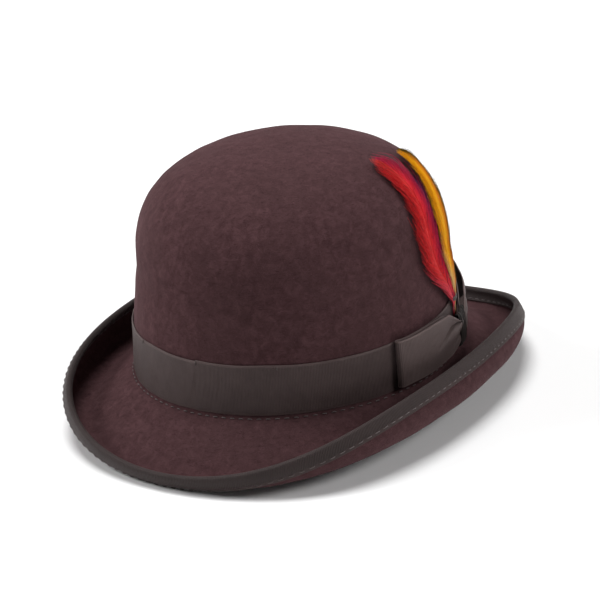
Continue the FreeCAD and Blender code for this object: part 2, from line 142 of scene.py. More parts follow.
def brim_frame(t, along):
    """Brim's top face a distance along from the break: point, outward direction, normal."""
    t, along = np.broadcast_arrays(np.asarray(t, float), np.asarray(along, float))
    x, y, nx, ny = oval(t)
    width = around(t, BRIM_WIDTH)
    slope = np.radians(around(t, BRIM_SLOPE))
    start, end = width * around(t, CURL_START), width * around(t, CURL_END)
    radius = (end - start) / (np.radians(around(t, CURL_ANGLE)) - slope)
    angle = slope + np.clip(along - start, 0, end - start) / radius
    flat, tail = np.minimum(along, start), np.maximum(along - end, 0)
    rho = flat * np.cos(slope) + radius * (np.sin(angle) - np.sin(slope)) + tail * np.cos(angle)
    z = flat * np.sin(slope) - radius * (np.cos(angle) - np.cos(slope)) + tail * np.sin(angle)
    point = pts(x + nx * rho, y + ny * rho, foot(t) + z)
    outward = pts(nx * np.cos(angle), ny * np.cos(angle), np.sin(angle))
    return point, outward, pts(-nx * np.sin(angle), -ny * np.sin(angle), np.cos(angle))


def on_brim(t, from_edge, above):
    t, from_edge, above = np.broadcast_arrays(t, from_edge, above)
    point, _, normal = brim_frame(t, around(t, BRIM_WIDTH) - from_edge)
    return point + normal * above[..., None]


def brim_edge(t, angle, radius):
    t, angle = np.broadcast_arrays(t, angle)
    point, outward, normal = brim_frame(t, around(t, BRIM_WIDTH))
    turn = normal * np.cos(angle)[..., None] + outward * np.sin(angle)[..., None]
    return point - normal * (FELT / 2) + turn * radius


def ripple(a, b, seed):
    """Smooth seeded unevenness, about -1 to 1, over two coordinates in millimetres."""
    draw = np.random.default_rng(seed)
    waves, total = 7, 0
    for _ in range(waves):
        length = draw.uniform(14, 46)
        heading = draw.uniform(0, TAU)
        along = a * np.cos(heading) + b * np.sin(heading)
        total = total + np.sin(along * TAU / length + draw.uniform(0, TAU))
    return total / np.sqrt(waves) / 1.3


def smooth_step(a, b, x):
    s = np.clip((x - a) / (b - a), 0, 1)
    return s * s * (3 - 2 * s)


# ---- meshes -----------------------------------------------
def make(name, verts, faces, uvs, node, material, body="hat"):
    """Mesh object from millimetre points, standing for one CAD node. uvs has a pair per corner."""
    mesh = bpy.data.meshes.new(name)
    placed = (np.asarray(verts) + [0, 0, BREAK_Z]) * 0.001
    mesh.from_pydata(placed.tolist(), [], [list(map(int, f)) for f in faces])
    layer = mesh.uv_layers.new(name="mm")
    layer.data.foreach_set("uv", np.asarray(uvs, np.float32).ravel())
    bm = bmesh.new()
    bm.from_mesh(mesh)
    bmesh.ops.remove_doubles(bm, verts=bm.verts, dist=2e-6)
    bmesh.ops.dissolve_degenerate(bm, dist=1e-7, edges=bm.edges)
    bmesh.ops.recalc_face_normals(bm, faces=bm.faces)
    for face in bm.faces:
        face.smooth = True
    bm.to_mesh(mesh)
    bm.free()
    piece = bpy.data.objects.new(name, mesh)
    bpy.context.scene.collection.objects.link(piece)
    mesh.materials.append(material)
    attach(piece, body)
    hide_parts(node)
    return piece


def grid(rows, cols, wrap_rows, wrap_cols, base=0):
    """Quads of a grid: vertex numbers, and the same corners counted without wrapping."""
    r = np.arange(rows if wrap_rows else rows - 1)
    c = np.arange(cols if wrap_cols else cols - 1)
    r, c = np.meshgrid(r, c, indexing="ij")
    corners = [(r, c), (r, c + 1), (r + 1, c + 1), (r + 1, c)]
    faces = np.stack([(a % rows) * cols + b % cols + base for a, b in corners], -1).reshape(-1, 4)
    places = np.stack([np.stack([a, b], -1) for a, b in corners], -2).reshape(-1, 2)
    return faces, places


def loft(name, rows, uv, node, material, ring=True, caps=True):
    """Piece through closed rows of points: the last row joins the first in a ring, or both ends are
    capped. uv(row, column) gives its surface coordinates in millimetres."""
    count, size = rows.shape[:2]
    faces, places = grid(count, size, ring, True)
    uvs = uv(places[:, 0], places[:, 1])
    faces = list(faces)
    if caps and not ring:
        ends = [np.arange(size), np.arange(size)[::-1] + (count - 1) * size]
        for loop, row in zip(ends, (0, count - 1)):
            faces.append(loop)
            uvs = np.concatenate([uvs, uv(np.full(size, row), loop % size)])
    return make(name, rows.reshape(-1, 3), faces, uvs, node, material)


def strip_loop(low, high, inner, outer, steps):
    """Section of a flat strip with rounded edges: across, depth and across-coordinate."""
    across = np.linspace(low, high, steps + 1)
    half, mid = (outer - inner) / 2, (outer + inner) / 2
    turn = np.radians([60, 20, -20, -60])
    cap_top = [(high + abs(half) * np.cos(a), mid + half * np.sin(a)) for a in turn]
    cap_low = [(low - abs(half) * np.cos(a), mid + half * np.sin(a)) for a in turn[::-1]]
    loop = [(h, outer) for h in across] + cap_top + [(h, inner) for h in across[::-1]] + cap_low
    return np.array(loop)


def tubes(paths, radius, sides=6, squash=1.0, up=(0, 0, 1)):
    """Tapered tubes along many paths at once: verts, faces and uvs for make()."""
    paths = np.asarray(paths, float)
    if paths.ndim == 2:
        paths = paths[None]
    number, points = paths.shape[:2]
    along = unit(np.gradient(paths, axis=1))
    up = np.broadcast_to(np.asarray(up, float), paths.shape)
    side = unit(np.cross(along, up))
    lift = np.cross(side, along)
    radius = np.broadcast_to(np.asarray(radius, float), (number, points))[..., None, None]
    turn = circle(sides)
    around_it = (side[:, :, None] * np.cos(turn)[:, None] +
                 lift[:, :, None] * np.sin(turn)[:, None] * squash)
    verts = (paths[:, :, None] + around_it * radius).reshape(-1, 3)
    faces, uvs = [], []
    quad, places = grid(points, sides, False, True)
    length = np.linalg.norm(np.diff(paths, axis=1), axis=-1).sum(1)
    for i in range(number):
        base = i * points * sides
        faces += list(quad + base)
        uvs.append(np.stack([places[:, 0] / (points - 1) * length[i], places[:, 1] / sides], -1))
        last = np.arange(sides)[::-1] + (points - 1) * sides
        for loop, at in ((np.arange(sides), 0.0), (last, length[i])):
            faces.append(loop + base)
            uvs.append(np.stack([np.full(sides, at), loop % sides / sides], -1))
    return verts, faces, np.concatenate(uvs)


# ---- materials --------------------------------------------
class Shade:
    """Small helper to wire one material."""

    def __init__(self, name):
        self.material = bpy.data.materials.new(name)
        self.material.use_nodes = True
        self.tree = self.material.node_tree
        self.tree.nodes.clear()
        self.out = self.tree.nodes.new("ShaderNodeOutputMaterial")

    def add(self, kind, inputs=None, **props):
        node = self.tree.nodes.new("ShaderNode" + kind)
        for key, value in props.items():
            setattr(node, key, value)
        for key, value in (inputs or {}).items():
            if isinstance(value, bpy.types.NodeSocket):
                self.tree.links.new(value, node.inputs[key])
            else:
                node.inputs[key].default_value = value
        return node

    def math(self, operation, a, b=0.0, clamp=False):
        return self.add("Math", {0: a, 1: b}, operation=operation, use_clamp=clamp).outputs[0]

    def waves(self, along, pitch):
        """Rounded ridges, 0 in the grooves and 1 on the crests, one every pitch."""
        return self.math("ABSOLUTE", self.math("SINE", self.math("MULTIPLY", along, np.pi / pitch)))

    def place(self, scale=(1, 1, 1)):
        coords = self.add("TexCoord").outputs["Object"]
        return self.add("Mapping", {0: coords, 3: scale}).outputs[0]

    def noise(self, scale, detail=3.0, rough=0.55, warp=0.0, vector=None):
        vector = vector or self.place()
        return self.add("TexNoise", {"Vector": vector, "Scale": scale, "Detail": detail,
                                     "Roughness": rough, "Distortion": warp}).outputs["Fac"]

    def ramp(self, fac, stops):
        node = self.add("ValToRGB", {"Fac": fac})
        node.color_ramp.elements[0].position, node.color_ramp.elements[1].position = 0.0, 1.0
        while len(node.color_ramp.elements) < len(stops):
            node.color_ramp.elements.new(0.5)
        for element, (position, colour) in zip(node.color_ramp.elements, stops):
            element.position = position
            element.color = (*colour, 1) if hasattr(colour, "__len__") else (colour,) * 3 + (1,)
        return node.outputs["Color"]

    def mix(self, fac, a, b, blend="MIX"):
        node = self.add("Mix", {"Factor": fac}, data_type="RGBA", blend_type=blend)
        for slot, value in ((6, a), (7, b)):
            if isinstance(value, bpy.types.NodeSocket):
                self.tree.links.new(value, node.inputs[slot])
            else:
                node.inputs[slot].default_value = (*value, 1)
        return node.outputs[2]

    def bump(self, height, distance, strength=1.0, normal=None):
        inputs = {"Height": height, "Distance": distance, "Strength": strength}
        if normal:
            inputs["Normal"] = normal
        return self.add("Bump", inputs).outputs[0]

    def finish(self, colour, normal=None, translucent=0.0, **settings):
        inputs = {"Base Color": colour if isinstance(colour, bpy.types.NodeSocket) else (*colour, 1)}
        if normal:
            inputs["Normal"] = normal
        inputs.update({key.replace("_", " "): value for key, value in settings.items()})
        surface = self.add("BsdfPrincipled", inputs).outputs[0]
        if translucent:
            glow = self.add("BsdfTranslucent", {"Color": inputs["Base Color"]}).outputs[0]
            surface = self.add("MixShader", {0: translucent, 1: surface, 2: glow}).outputs[0]
        self.tree.links.new(surface, self.out.inputs["Surface"])
        return self.material


def felt_material():
    """Mottled burgundy felt with a fine nap and a few dark hairs."""
    s = Shade("felt")
    cloud = s.noise(24, 4, 0.6)
    mottle = s.noise(210, 5, 0.65, 0.6)
    fibre = s.noise(1500, 3, 0.7, 2.5)
    hairs = s.noise(1.0, 3, 0.6, 1.2, s.place((420, 420, 2600)))
    colour = s.ramp(mottle, [(0.28, (0.035, 0.0155, 0.0168)), (0.5, (0.054, 0.025, 0.0272)),
                             (0.72, (0.08, 0.039, 0.0425))])
    colour = s.mix(s.ramp(cloud, [(0.35, 0.0), (0.68, 0.55)]), colour, (0.046, 0.023, 0.024))
    colour = s.mix(s.ramp(fibre, [(0.56, 0.0), (0.72, 0.75)]), colour, (0.125, 0.06, 0.068))
    colour = s.mix(s.ramp(hairs, [(0.3, 0.7), (0.44, 0.0)]), colour, (0.02, 0.0085, 0.01))
    normal = s.bump(s.noise(170, 3, 0.5, 0.4), 0.0009, 0.35)
    normal = s.bump(mottle, 0.0004, 0.5, normal)
    normal = s.bump(fibre, 0.00018, 0.6, normal)
    return s.finish(colour, normal, Roughness=0.96, Specular_IOR_Level=0.07, Sheen_Weight=0.11,
                    Sheen_Roughness=0.45, Sheen_Tint=(0.8, 0.44, 0.48, 1))


RIB_PITCH, WARP_PITCH = 0.85, 0.42


def ribbon_material(name, width, dark, light, pitch=RIB_PITCH):
    """Grosgrain: ribs across the ribbon, a plain selvedge along both of its edges."""
    s = Shade(name)
    coords = s.add("TexCoord").outputs["UV"]
    split = s.add("SeparateXYZ", {0: coords})
    x, y = split.outputs[0], split.outputs[1]
    wobble = s.math("MULTIPLY", s.noise(0.35, 2, 0.5, 0, coords), 0.5)
    rib = s.waves(s.math("ADD", x, wobble), pitch)
    warp = s.waves(y, WARP_PITCH)
    edge = s.math("MINIMUM", y, s.math("SUBTRACT", width, y))
    inner = s.math("MULTIPLY", s.math("SUBTRACT", edge, 0.5), 2.5, clamp=True)
    shade = s.noise(0.12, 4, 0.6, 0.5, coords)
    stain = s.noise(30, 3, 0.6)
    colour = s.mix(shade, dark, light)
    # Darker in the grooves between the ribs: painted shade.
    colour = s.mix(s.math("MULTIPLY", s.math("SUBTRACT", 1.0, rib), 0.55), colour,
                   tuple(0.45 * c for c in dark))
    colour = s.mix(s.math("MULTIPLY", s.math("SUBTRACT", 1.0, inner), 0.35), colour,
                   tuple(1.4 * c for c in light))
    colour = s.mix(s.ramp(stain, [(0.4, 0.0), (0.75, 0.4)]), colour, tuple(0.8 * c for c in dark))
    height = s.math("ADD", s.math("MULTIPLY", rib, inner), s.math("MULTIPLY", warp, 0.22))
    normal = s.bump(s.noise(0.25, 2, 0.5, 0, coords), 0.0006, 0.3)
    normal = s.bump(height, 0.00022, 0.8, normal)
    return s.finish(colour, normal, Roughness=0.62, Specular_IOR_Level=0.25, Sheen_Weight=0.12,
                    Sheen_Roughness=0.35, Sheen_Tint=(0.8, 0.72, 0.72, 1))


def thread_material(name, dark, light):
    s = Shade(name)
    split = s.add("SeparateXYZ", {0: s.add("TexCoord").outputs["UV"]})
    turn = s.math("ADD", s.math("MULTIPLY", split.outputs[0], 9.0),
                  s.math("MULTIPLY", split.outputs[1], TAU))
    strand = s.math("ABSOLUTE", s.math("SINE", turn))
    # Darker down between the twisted plies: painted shade.
    colour = s.mix(strand, dark, light)
    return s.finish(colour, s.bump(strand, 0.00008, 0.8), Roughness=0.6, Specular_IOR_Level=0.35,
                    Sheen_Weight=0.2)


def leather_material():
    """Brown leather, creased and slightly worn."""
    s = Shade("sweat_leather")
    where = s.place()
    pores = s.add("TexVoronoi", {"Vector": where, "Scale": 900.0}).outputs["Distance"]
    crease = s.noise(140, 5, 0.65, 1.0)
    wear = s.noise(22, 4, 0.6)
    colour = s.mix(wear, (0.085, 0.04, 0.022), (0.165, 0.085, 0.048))
    colour = s.mix(s.ramp(crease, [(0.3, 0.6), (0.5, 0.0)]), colour, (0.045, 0.022, 0.012))
    normal = s.bump(crease, 0.0004, 0.5)
    normal = s.bump(pores, 0.00015, 0.6, normal)
    rough = s.ramp(wear, [(0.3, 0.42), (0.7, 0.6)])
    return s.finish(colour, normal, Roughness=rough, Specular_IOR_Level=0.45, Coat_Weight=0.08)


def satin_material(name, dark, light):
    """Smooth satin with a fine slanting twill."""
    s = Shade(name)
    coords = s.add("TexCoord").outputs["UV"]
    split = s.add("SeparateXYZ", {0: coords})
    slant = s.math("ADD", split.outputs[0], split.outputs[1])
    twill = s.math("SINE", s.math("MULTIPLY", slant, TAU / 0.9))
    colour = s.mix(s.noise(40, 4, 0.6), dark, light)
    colour = s.mix(s.math("MULTIPLY", s.math("ADD", twill, 1.0), 0.12), colour,
                   tuple(1.6 * c for c in light))
    normal = s.bump(s.noise(90, 3, 0.5, 0.4), 0.0006, 0.35)
    normal = s.bump(twill, 0.00005, 0.5, normal)
    return s.finish(colour, normal, Roughness=0.34, Specular_IOR_Level=0.55, Sheen_Weight=0.25,
                    Anisotropic=0.4)


FAR_SIDE = 200.0        # added to x on a feather's far side


def barb_material(name, root, body, tip, dark, far, far_edge_tint_and_shade):
    """Feather web: x runs up the feather from 0 to 100, y out along each barb from 0 to 1."""
    s = Shade(name)
    coords = s.add("TexCoord").outputs["UV"]
    split = s.add("SeparateXYZ", {0: coords})
    far_side = s.math("GREATER_THAN", split.outputs[0], 0.75 * FAR_SIDE)
    near = s.math("SUBTRACT", split.outputs[0], s.math("MULTIPLY", far_side, FAR_SIDE))
    up = s.math("DIVIDE", near, 100.0)
    colour = s.ramp(up, [(0.0, root), (0.07, root), (0.22, body), (0.75, body), (1.0, tip)])
    # Dark streaks over groups of barbs: partly the plume's own streaky tone, partly painted shade
    # for the gaps between clumps of barbs.
    streak_gap_shade = s.noise(1.0, 3, 0.7, 0.3, s.add("Mapping", {0: coords, 3: (2.2, 0.8, 1)}).outputs[0])
    colour = s.mix(s.ramp(streak_gap_shade, [(0.34, 0.7), (0.5, 0.0)]), colour, dark)
    colour = s.mix(s.ramp(s.noise(420, 2, 0.5), [(0.5, 0.0), (0.75, 0.5)]), colour, tip)
    # Far side of the web: partly the plume's own tint, partly painted shade, deepest towards the
    # outer ends of its barbs.
    edge = s.math("MULTIPLY", far_side, s.ramp(split.outputs[1], [(0.04, 0.0), (0.32, 0.9)]))
    colour = s.mix(edge, colour, far)
    edge = s.math("MULTIPLY", far_side, s.ramp(split.outputs[1], [(0.38, 0.0), (0.66, 0.92)]))
    colour = s.mix(edge, colour, far_edge_tint_and_shade)
    return s.finish(colour, None, 0.3, Roughness=0.6, Specular_IOR_Level=0.12)


def quill_material(name, root, tip):
    s = Shade(name)
    split = s.add("SeparateXYZ", {0: s.add("TexCoord").outputs["UV"]})
    colour = s.mix(s.math("DIVIDE", split.outputs[0], 110.0, clamp=True), root, tip)
    colour = s.mix(s.math("MULTIPLY", s.noise(500, 3, 0.6), 0.5), colour,
                   tuple(0.5 * c for c in root))
    return s.finish(colour, s.bump(s.noise(900, 2, 0.5), 0.0001, 0.4), Roughness=0.35,
                    Specular_IOR_Level=0.5, Subsurface_Weight=0.1,
                    Subsurface_Radius=(0.001, 0.0006, 0.0004))


FELT_LOOK = felt_material()
BAND_LOOK = ribbon_material("band_ribbon", BAND_HIGH - BAND_LOW,
                            (0.049, 0.0312, 0.03), (0.082, 0.055, 0.0525))
# The bow's ribbon is a lighter copy of the band's ribbon: painted light, for the loops catching more
# light than the band.
BOW_LOOK = ribbon_material("bow_ribbon", BOW_RIBBON, (0.071, 0.0475, 0.045),
                           (0.119, 0.083, 0.0795))
# The knot's ribbon is a much darker copy of the bow's ribbon: painted shade for the deep shadow in
# and round the knot.
SHADED_KNOT_LOOK = ribbon_material("knot_ribbon_painted_shade", BOW_RIBBON, (0.012, 0.009, 0.0078),
                            (0.022, 0.0165, 0.0145))
BINDING_LOOK = ribbon_material("binding_ribbon", 18.2, (0.022, 0.0133, 0.0126),
                               (0.038, 0.0235, 0.0222))
INNER_BOW_LOOK = ribbon_material("inner_bow_ribbon", 8.0, (0.03, 0.016, 0.018),
                                 (0.055, 0.034, 0.036), pitch=0.6)
THREAD_LOOK = thread_material("thread", (0.03, 0.021, 0.021), (0.105, 0.08, 0.078))
TACK_LOOK = thread_material("tack_thread", (0.03, 0.02, 0.02), (0.085, 0.062, 0.06))
LEATHER_LOOK = leather_material()
SATIN_LOOK = satin_material("lining_satin", (0.05, 0.018, 0.024), (0.085, 0.036, 0.044))
PIPING_LOOK = satin_material("piping_cord", (0.06, 0.024, 0.03), (0.11, 0.05, 0.058))


# ---- felt -------------------------------------------------
def felt_hood():
    """Crown and brim in one skin: outer face, rim, under face, inner face."""
    count = 290
    t = circle(count)
    dome = 1 - np.linspace(0.0, 1.0, 54) ** 1.35
    wall = -np.linspace(0.02, 0.975, 40)
    crown = np.concatenate([dome, wall])
    share = np.concatenate([np.linspace(0.035, 0.7, 34), np.linspace(0.715, 0.995, 34)])
    edge = np.radians([15, 40, 65, 90, 115, 140, 165])
    width = around(t, BRIM_WIDTH)
    rim = width * share[:, None]

    def uneven(points, seed, size):
        x, y, z = points[..., 0], points[..., 1], points[..., 2]
        return ripple(x * 1.3 + z, y + z * 0.6, seed) * size

    base = crown_skin(t, crown[:, None])
    base[0] = [SHIFT_X, 0, HEIGHT]
    lift = uneven(base, 3, 0.16) * smooth_step(-1.0, -0.6, crown)[:, None]
    outer = on_crown(t, crown[:, None], lift)
    outer[0] = [SHIFT_X, 0, HEIGHT]
    brim_base, _, brim_up = brim_frame(t, rim)
    sway = uneven(brim_base, 5, 0.22) * np.sin(np.pi * share)[:, None]
    top = brim_base + brim_up * sway[..., None]
    turn = brim_edge(t, edge[:, None], FELT / 2)
    under = brim_base[::-1] + brim_up[::-1] * (sway[::-1, :, None] - FELT)
    inner = on_crown(t, crown[::-1, None], -FELT)
    inner[-1] = [SHIFT_X, 0, HEIGHT - FELT]
    rows = np.concatenate([outer, top, turn, under, inner])

    def uv(r, c):
        return np.stack([c * 1.9, r * 1.5], -1)

    loft("felt_hood", rows, uv, "felt_body", FELT_LOOK, ring=False, caps=False)


STITCH = 5.2                        # pitch of every seam
EDGE_SEAM, BAND_SEAM = 800.0, 604.0      # lengths of the binding's seam and the sweatband's seam


def stitch_pucker(t, length):
    """1 midway between two needle holes and 0 at the hole."""
    return np.abs(np.sin(t * round(length / STITCH) / 2))


def brim_ribbon():
    """Binding folded over the brim's edge and drawn in along its seam."""
    count = 800
    t = circle(count)
    flat = np.linspace(BINDING_WIDTH, 0.4, 16)
    turn = np.linspace(0, np.pi, 13)
    pucker = stitch_pucker(t, EDGE_SEAM)
    seam = np.exp(-((flat - BINDING_SEAM) / 0.8) ** 2)[:, None]
    pull = -0.12 * seam * (1 - pucker) + 0.05 * ripple(t * 110, flat[:, None] * 2, 11)
    outside, inside = 0.75, 0.15
    face_top = on_brim(t, flat[:, None], outside + pull)
    nose = brim_edge(t, turn[:, None], FELT / 2 + outside)
    face_low = on_brim(t, flat[::-1, None], -FELT - outside - pull[::-1])
    back_low = on_brim(t, flat[:, None] + 0.12, np.full_like(pull, -FELT - inside))
    back = brim_edge(t, turn[::-1, None], FELT / 2 + inside)
    back_top = on_brim(t, flat[::-1, None] + 0.12, np.full_like(pull, inside))
    rows = np.concatenate([face_top, nose, face_low, back_low, back, back_top])
    round_edge = turn * (FELT / 2 + outside)
    far_side = BINDING_WIDTH + round_edge[-1] + flat
    half = np.concatenate([BINDING_WIDTH - flat, BINDING_WIDTH + round_edge, far_side[::-1]])
    across = np.concatenate([half, half[::-1]])

    def uv(r, c):
        return np.stack([c / count * 812.0, across[r % len(across)]], -1)

    piece = loft("brim_ribbon", rows, uv, "brim_binding", BINDING_LOOK)


def stitches(name, node, place, length, radius, fill=0.56, sink=0.3):
    """Row of separate stitches: each rises from one needle hole and dips into the next."""
    count = round(length / STITCH)
    step = TAU / count
    share = np.linspace(-0.5, 0.5, 7)
    mid = (np.arange(count) + 0.5) * step
    t = mid[:, None] + share * step * fill
    skew = 0.12 * np.sin(np.arange(count) * 2.4)[:, None] * share
    lift = radius * 0.9 - sink * (2 * np.abs(share)) ** 3
    paths = place(t, np.broadcast_to(lift, t.shape), skew)
    taper = radius * np.sqrt(np.maximum(1 - (2 * share) ** 4 * 0.75, 0.1))
    verts, faces, uvs = tubes(paths, np.broadcast_to(taper, t.shape), 7)
    make(name, verts, faces, uvs, node, THREAD_LOOK)


def binding_stitches():
    face = 0.72

    def upper(t, lift, skew):
        return on_brim(t, BINDING_SEAM + skew, face + lift)

    def lower(t, lift, skew):
        return on_brim(t, BINDING_SEAM + skew, -FELT - face - lift)

    stitches("binding_stitches_top", "binding_thread_upper", upper, EDGE_SEAM, 0.24)
    stitches("binding_stitches_under", "binding_thread_lower", lower, EDGE_SEAM, 0.24)


# ---- hatband and bow --------------------------------------
def band():
    """Hatband, its upper edge standing off the crown here and there."""
    count = 640
    t = circle(count)
    loop = strip_loop(BAND_LOW, BAND_HIGH, 0.25, 1.05, 16)
    height = loop[:, :1] + 0.12 * ripple(t * 95, 0 * t, 21)
    height = height + 0.35 * smooth_step(14, 28, loop[:, :1]) * ripple(t * 60, 0 * t, 22)
    stand = loop[:, 1:] + 0.14 * ripple(t * 95, loop[:, :1] * 1.5, 23)
    gape = np.clip(ripple(t * 70, 0 * t, 24), 0, 1)
    stand = stand + 0.25 * smooth_step(22, 28, loop[:, :1]) * gape
    rows = on_wall(t, height, np.maximum(stand, 0.12))
    across = np.clip(loop[:, 0], BAND_LOW, BAND_HIGH) - BAND_LOW

    def uv(r, c):
        return np.stack([c / count * 600.0, across[r % len(across)]], -1)

    piece = loft("hatband_ribbon", rows, uv, "hatband", BAND_LOOK)


def band_tacks():
    t = np.radians(np.arange(-150, 60, 30))[:, None]
    share = np.linspace(0, 1, 7)
    lift = 1.05 + 0.34 * np.sin(np.pi * share)
    paths = on_wall(t + 0.002 * share, BAND_HIGH - 1.9 + 2.3 * share, lift)
    verts, faces, uvs = tubes(paths, 0.2, 6, up=(0.3, 0.2, 0.1))
    make("hatband_tack_stitches", verts, faces, uvs, "hatband_tacks", TACK_LOOK)


BOW_LOW = 1.2                       # distance out from the crown
BOW_MIDDLE = BAND_LOW + 15.0
BOW_REACH = np.radians(38.0)
BOW_HALF_THICK = 0.35
FOLD_AT, FOLD_RADIUS = 0.955, 1.9
KNOT_MIDDLE = BOW_MIDDLE - 4.2
KNOT_HALF = (5.5, 9.8, 1.9)         # across, high, deep
KNOT_BASE = 3.05


def bow_loop(name, node, side):
    """Ribbon loop: leaves the knot on the inside, folds at its end and comes back on the outside."""
    mm = HALF_WIDTH * BOW_REACH
    inner = np.linspace(0.0, FOLD_AT, 44)
    fold = np.radians(np.linspace(-80, 80, 11))
    share = np.concatenate([inner, FOLD_AT + FOLD_RADIUS * np.cos(fold) / mm, inner[::-1]])
    depth_in = np.interp(inner, [0, 0.06, 0.15, 0.3, 0.5, 1], [2.85, 2.7, 1.3, 0.6, 0.1, 0.0])
    depth_fold = FOLD_RADIUS * (1 + np.sin(fold))
    depth_out = np.interp(inner, [0, 0.08, 0.22, 0.6, 1],
                          [3.9, 4.1, 4.2 - 0.2 * side, 3.9 - 0.1 * side, 3.8])
    depth = BOW_LOW + BOW_HALF_THICK + np.concatenate([depth_in, depth_fold, depth_out[::-1]])
    outer = np.concatenate([0 * inner, np.linspace(0, 1, len(fold)), 0 * inner + 1])
    spots = [0, 0.07, 0.15, 0.3, 0.5, 1]
    front_top, rear_top = [0.8, 1.2, 5.0, 11.8, 13.0, 13.1], [2.0, 3.0, 6.5, 10.8, 12.4, 13.1]
    high = np.interp(share, spots, front_top if side < 0 else rear_top)
    low = np.interp(share, spots, [10.4, 10.6, 11.2, 12.2, 12.8, 13.0])
    loop = strip_loop(-1, 1, -BOW_HALF_THICK, BOW_HALF_THICK, 64)
    h = np.clip(loop[:, :1], -1, 1)
    gather = smooth_step(0.5, 0.03, share)
    path = 0.5 - 0.35 * share - 1.9 * share ** 2
    valley = np.exp(-((h - path) / 0.095) ** 2) * smooth_step(0.56, 0.3, share)
    second = np.exp(-((h + 0.62 - 0.2 * share) / 0.12) ** 2)
    lobes = 1.1 * np.exp(-((h + 0.12) / 0.26) ** 2) + 1.0 * np.exp(-((h - 0.85) / 0.25) ** 2)
    pleats = gather * (lobes - 0.9 * second * gather) - 3.1 * valley
    swell = outer * (0.9 * (1 - h ** 2) * np.exp(-((share - 0.5) / 0.3) ** 2) + pleats)
    swell -= (1 - outer) * valley * np.maximum(depth - BOW_LOW - BOW_HALF_THICK - 0.1, 0)
    half = np.where(h > 0, high, low) - 0.8 * (1 - outer) * smooth_step(1.0, 0.8, share)
    height = BOW_MIDDLE + h * half + (loop[:, :1] - h) * 0.6
    wave = 0.22 * outer * np.sin(share * 15 + h * 2.0) * (share > 0.25)
    run, rise = np.gradient(share * mm), np.gradient(depth)
    size = np.hypot(run, rise)
    shift_t, shift_d = -rise / size * loop[:, 1:], run / size * loop[:, 1:]
    half_gap = 0.012
    t = BOW_ANGLE + side * (share * BOW_REACH + half_gap + shift_t / HALF_WIDTH)
    rows = on_wall(t, height, depth + shift_d + swell + wave).transpose(1, 0, 2)
    length = np.concatenate([[0], np.cumsum(np.hypot(np.diff(share * mm), np.diff(depth)))])

    def uv(r, c):
        return np.stack([length[r], (h[c % len(h), 0] + 1) * BOW_RIBBON / 2], -1)

    piece = loft(name, rows, uv, node, BOW_LOOK, ring=False)


def bow_knot():
    """Ribbon wrapped round the gathered middle of the bow, in a darker copy of the bow's ribbon that
    paints in its shade.
    """
    count = 72
    half_width, half_height, half_depth = KNOT_HALF
    a = (np.arange(count) + 0.5) / count * TAU
    sine, cosine = np.sin(a), np.cos(a)
    loop = strip_loop(-half_width, half_width, 0.7, 0.0, 26)
    width, plain = loop[:, :1], loop[:, 1:]
    crease = 0.45 * np.cos(width * 1.75 + 0.5 + 0.5 * sine)
    crease = crease + 0.22 * np.cos(width * 4.3 + 0.8 * np.sin(2 * a))
    inset = plain - crease * smooth_step(-0.3, 0.5, cosine)
    waist = 1 - 0.16 * cosine ** 2
    t = BOW_ANGLE + width * waist / HALF_WIDTH
    height = sine * np.abs(sine) ** -0.35 * (half_height - inset)
    depth = cosine * np.abs(cosine) ** -0.35 * (half_depth - np.where(cosine > -0.5, inset, plain))
    rows = on_wall(t, KNOT_MIDDLE + height, KNOT_BASE + half_depth + depth).transpose(1, 0, 2)

    def uv(r, c):
        return np.stack([loop[c % len(loop), 0] + half_width, r / count * 55.0], -1)

    piece = loft("bow_knot_wrap", rows, uv, "bow_knot", SHADED_KNOT_LOOK)


# ---- inside -----------------------------------------------
LEATHER, CLEAR, REED = 0.9, 0.15, 1.0       # thickness, gap to the neighbour, reed's radius
SWEAT_FACE = -4.6                   # the leather's inner face


def sweat_leather():
    """Leather band with its lower edge turned up round the reed, behind the main ply."""
    tail = -FELT - CLEAR - LEATHER / 2
    main = tail - LEATHER - 0.25
    turn = REED + CLEAR + LEATHER / 2
    centre = tail - turn
    curl = np.linspace(0, np.pi, 13)
    heights = np.concatenate([[7.0, 5.0, 3.0, 1.5], 0.4 - turn * np.sin(curl), [1.8, 3.6, 5.6],
                              np.linspace(8, 37, 16)])
    depths = np.concatenate([[tail] * 4, centre + turn * np.cos(curl),
                             [centre - turn * 0.93, main - 0.5, main], [main] * 16])
    dh, dd = np.gradient(heights), np.gradient(depths)
    size = np.hypot(dh, dd)
    count = 300
    t = circle(count)
    wave = 0.12 * ripple(t * 90, heights[:, None] * 1.4, 31) * smooth_step(6, 30, heights)[:, None]
    sides = []
    for sign in (1, -1):
        shift = sign * LEATHER / 2 / size
        above, out = heights - dd * shift, depths + dh * shift
        sides.append(on_wall(t, above[:, None], out[:, None] + wave))
    rows = np.concatenate([sides[0], sides[1][::-1]])

    def uv(r, c):
        return np.stack([c / count * 560.0, r * 1.2], -1)

    loft("sweat_leather_band", rows, uv, "sweatband", LEATHER_LOOK)


def outer_seam():
    """Dashes of the sweatband's seam, showing on the brim just under the hatband."""
    def place(t, lift, skew):
        point, _, normal = brim_frame(t, 1.9 + skew)
        return point + normal * (lift + 0.28)[..., None]

    stitches("sweatband_seam_outside", "sweatband_thread", place, BAND_SEAM, 0.27, 0.5, 0.34)


